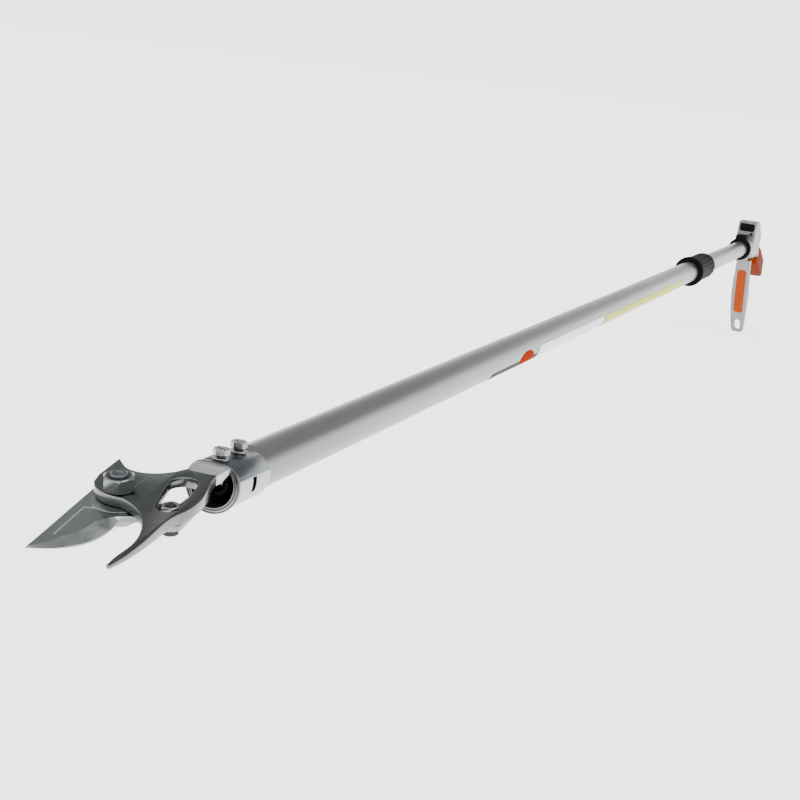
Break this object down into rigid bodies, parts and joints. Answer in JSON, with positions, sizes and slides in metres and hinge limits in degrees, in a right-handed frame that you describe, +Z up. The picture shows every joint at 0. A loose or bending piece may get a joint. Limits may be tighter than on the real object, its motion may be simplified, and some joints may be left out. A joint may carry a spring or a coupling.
{
  "type": "telescoping long-reach pruner",
  "caption": "Long-reach garden pruner: bypass cutting head on a telescoping aluminium pole, worked by a hand lever under a pistol grip.",
  "frame": {"origin": "on the pole axis, in the flat rear face of the handle's end cap", "axes": "+X along the pole towards the cutting head, +Z up, away from the hand lever, +Y towards the fixed hook"},
  "size_m": [2.358, 0.0696, 0.1988],
  "materials": {
    "hook_steel": "dark oxide faces, bright ground edges",
    "blade_steel": "ground and lightly oiled",
    "plated_steel": "zinc plated",
    "dark_screw": "black oxide",
    "pole_aluminium": "satin anodised",
    "rod_aluminium": "plain drawn",
    "cast_aluminium": "silver paint on a die casting",
    "black_plastic": "moulded, fine grain",
    "white_nylon": "plain moulded",
    "orange_plastic": "moulded, satin",
    "grip_plastic": "moulded, fine grain",
    "white_label": "printed film",
    "yellow_label": "printed film",
    "dark_label": "printed film"
  },
  "bodies": {
    "handle": {"inner_tube": "pole_aluminium", "inner_tube_bush": "white_nylon", "rear_rod_guide": "white_nylon", "handle_body_left": "cast_aluminium", "handle_body_right": "cast_aluminium", "body_end_cap": "black_plastic", "body_screw_1": "dark_screw", "body_screw_2": "dark_screw", "front_cap": "black_plastic", "cap_screw": "dark_screw", "socket_ring": "black_plastic", "ring_screw": "dark_screw", "rear_grip": "grip_plastic", "lever_pivot_pin": "plated_steel", "lever_spring": "dark_screw"},
    "head_pole": {"outer_tube": "pole_aluminium", "hook_plate": "hook_steel", "clamp_sleeve": "pole_aluminium", "clamp_block": "plated_steel", "clamp_bolt_front": "plated_steel", "clamp_washer_front": "plated_steel", "sleeve_rivet_front": "plated_steel", "clamp_bolt_rear": "plated_steel", "clamp_washer_rear": "plated_steel", "sleeve_rivet_rear": "plated_steel", "pivot_bolt": "plated_steel", "pivot_washer": "plated_steel", "pivot_nut": "plated_steel", "front_rod_guide": "white_nylon", "label_dark": "dark_label", "label_white": "white_label", "label_yellow": "yellow_label", "collar_sleeve": "black_plastic", "split_collet": "white_nylon"},
    "collar_nut": {"collar_nut": "black_plastic"},
    "lever": {"lever_frame": "cast_aluminium", "lever_pad": "orange_plastic"},
    "rear_rod": {"rear_drive_rod": "rod_aluminium", "rod_gripper": "plated_steel", "rod_clevis": "plated_steel", "clevis_pin": "plated_steel"},
    "front_rod": {"front_drive_rod": "plated_steel", "rod_ball_socket": "black_plastic"},
    "link": {"drive_link": "plated_steel"},
    "blade": {"cutting_blade": "blade_steel", "link_bolt": "plated_steel", "link_nut": "plated_steel"}
  },
  "joints": [
    {"name": "pole_extend", "type": "slide", "parent": "handle", "child": "head_pole", "axis": [1, 0, 0], "range_m": [-0.34, 0.89]},
    {"name": "collar_turn", "type": "hinge", "parent": "head_pole", "child": "collar_nut", "pos_m": [0.536, 0, 0], "axis": [1, 0, 0], "range_deg": [0, 90]},
    {"name": "lever_pivot", "type": "hinge", "parent": "handle", "child": "lever", "pos_m": [0.062, 0, 0.031], "axis": [0, 1, 0], "range_deg": [0, 34.38], "stiffness_Nm_per_rad": 0.6, "springref_deg": -34.38},
    {"name": "rear_rod_slide", "type": "slide", "parent": "handle", "child": "rear_rod", "axis": [-1, 0, 0], "range_m": [0, 0.0193]},
    {"name": "front_rod_slide", "type": "slide", "parent": "head_pole", "child": "front_rod", "axis": [-1, 0, 0], "range_m": [0, 0.0193]},
    {"name": "link_swing", "type": "hinge", "parent": "front_rod", "child": "link", "pos_m": [2.103, 0, 0], "axis": [-0.0956, -0.5674, -0.8179], "range_deg": [0, 5.06]},
    {"name": "blade_pivot", "type": "hinge", "parent": "head_pole", "child": "blade", "pos_m": [2.16725, -0.028, 0.00302], "axis": [0.165, 0, 0.9863], "range_deg": [0, 37.05]}
  ],
  "couplings": [
    {"joint": "rear_rod_slide", "follows": "lever_pivot", "m_per_rad": 0.032},
    {"joint": "front_rod_slide", "follows": "lever_pivot", "m_per_rad": 0.032},
    {"joint": "link_swing", "follows": "lever_pivot", "ratio": 0.1457},
    {"joint": "blade_pivot", "follows": "lever_pivot", "ratio": 1.0763}
  ]
}
